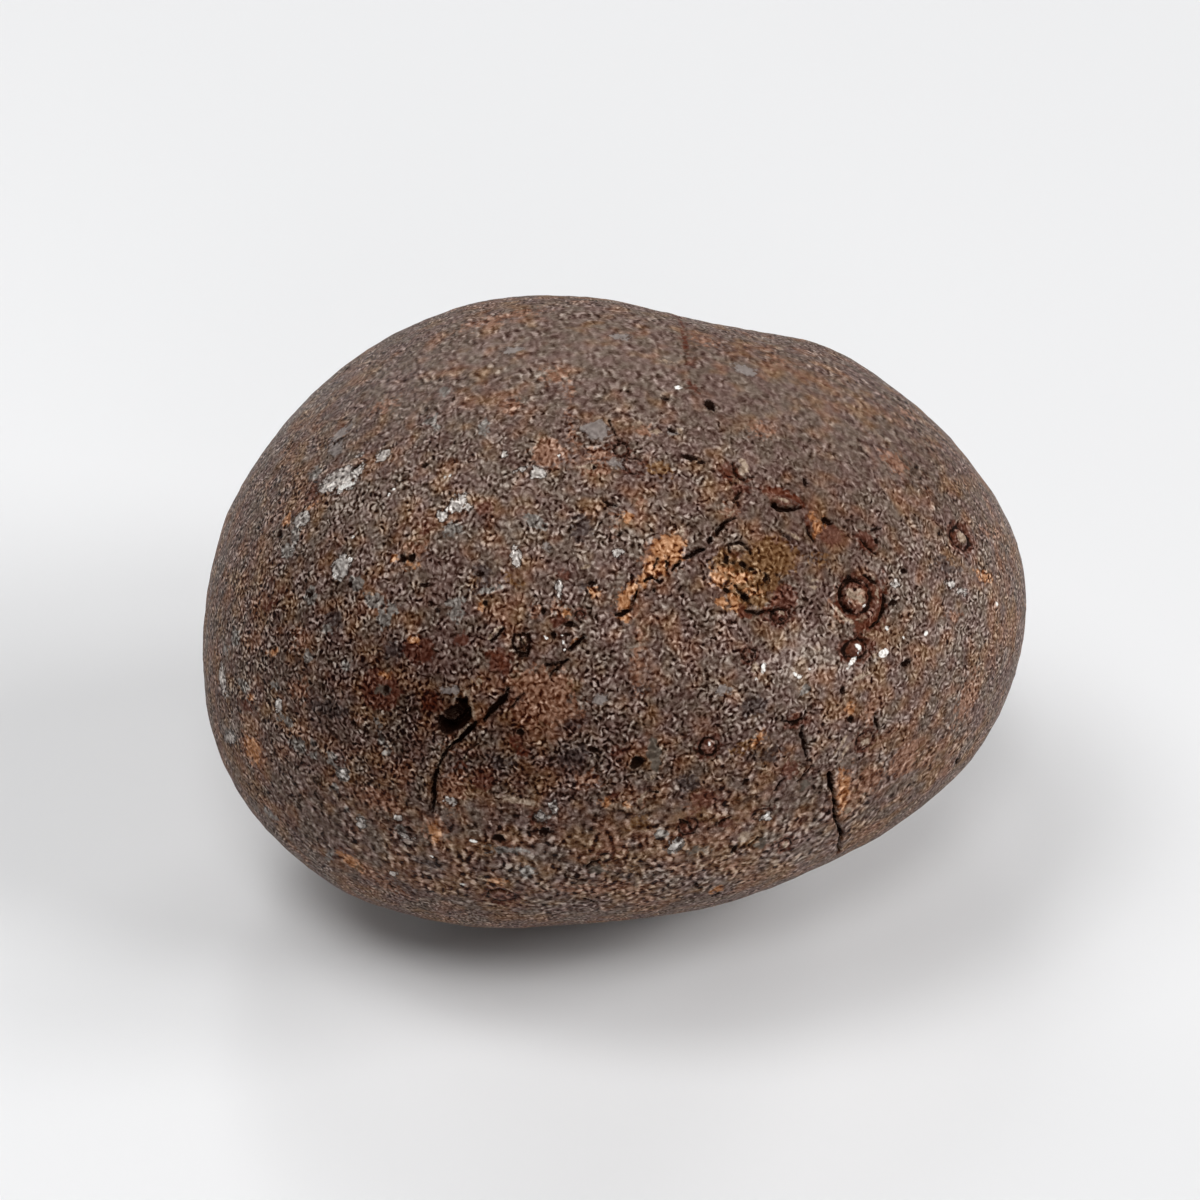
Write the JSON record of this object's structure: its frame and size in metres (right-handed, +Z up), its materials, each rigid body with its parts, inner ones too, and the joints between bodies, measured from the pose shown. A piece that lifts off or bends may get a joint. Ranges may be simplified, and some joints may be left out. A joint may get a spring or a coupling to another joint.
{
  "type": "stony meteorite",
  "caption": "Rounded, weathered stony meteorite, egg-shaped with a shallow waist, resting on a small flat spot: a display or scatter stone.",
  "frame": {"origin": "middle of the small flat spot on the underside that the stone rests on", "axes": "+Z up from the surface it rests on; +X along the longest side, towards the smaller end; +Y towards the back, so -Y is the side with the crack"},
  "size_m": [0.0301, 0.0239, 0.0218],
  "materials": {
    "rock": "dull brown-grey weathered rock, fine salt-and-pepper grain with orange rust specks and small grey metal flakes"
  },
  "bodies": {
    "root": {"meteorite_stone": "rock"}
  },
  "joints": []
}
